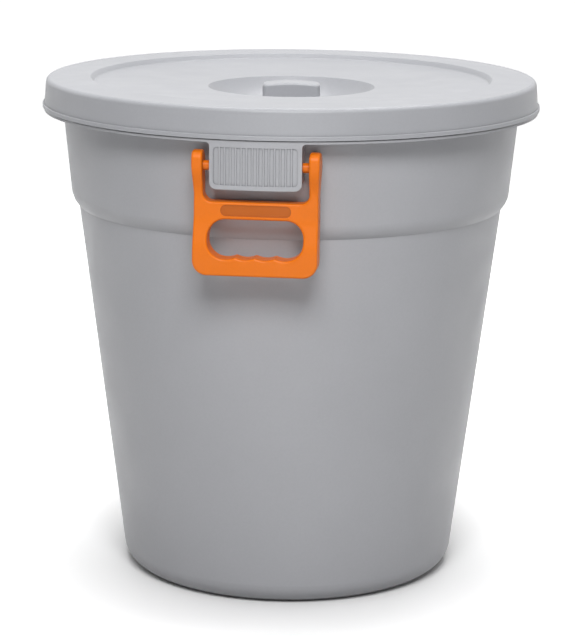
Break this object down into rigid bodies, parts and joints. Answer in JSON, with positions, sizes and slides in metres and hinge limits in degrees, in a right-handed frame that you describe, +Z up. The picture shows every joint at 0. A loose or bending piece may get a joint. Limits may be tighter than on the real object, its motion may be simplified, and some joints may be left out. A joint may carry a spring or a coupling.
{
  "type": "trash can",
  "caption": "Round plastic trash can: tapered body with a stepped collar, a lift-off lid with a dished bar grip, and swinging carry handles on ribbed tabs.",
  "frame": {"origin": "centre of the bin's footprint, on the surface that it stands on", "axes": "+Z up along the bin's axis; -Y towards the front handle; +X to the right, seen from the front"},
  "size_m": [0.54, 0.54, 0.543],
  "materials": {
    "body_plastic": "satin injection-moulded polypropylene, cool light grey",
    "lid_plastic": "satin injection-moulded polypropylene, the same cool light grey as the body",
    "handle_plastic": "semi-gloss injection-moulded plastic, bright orange"
  },
  "bodies": {
    "bin": {"bin_body": "body_plastic"},
    "lid": {"lid": "lid_plastic"},
    "front_handle": {"front_handle": "handle_plastic"},
    "rear_handle": {"rear_handle": "handle_plastic"}
  },
  "joints": [
    {"name": "lid_lift", "type": "slide", "parent": "bin", "child": "lid", "axis": [0, 0, 1], "range_m": [0, 0.25]},
    {"name": "front_handle_swing", "type": "hinge", "parent": "bin", "child": "front_handle", "pos_m": [0, -0.256, 0.4835], "axis": [-1, 0, 0], "range_deg": [-3, 145]},
    {"name": "rear_handle_swing", "type": "hinge", "parent": "bin", "child": "rear_handle", "pos_m": [0, 0.256, 0.4835], "axis": [1, 0, 0], "range_deg": [-3, 145]}
  ]
}
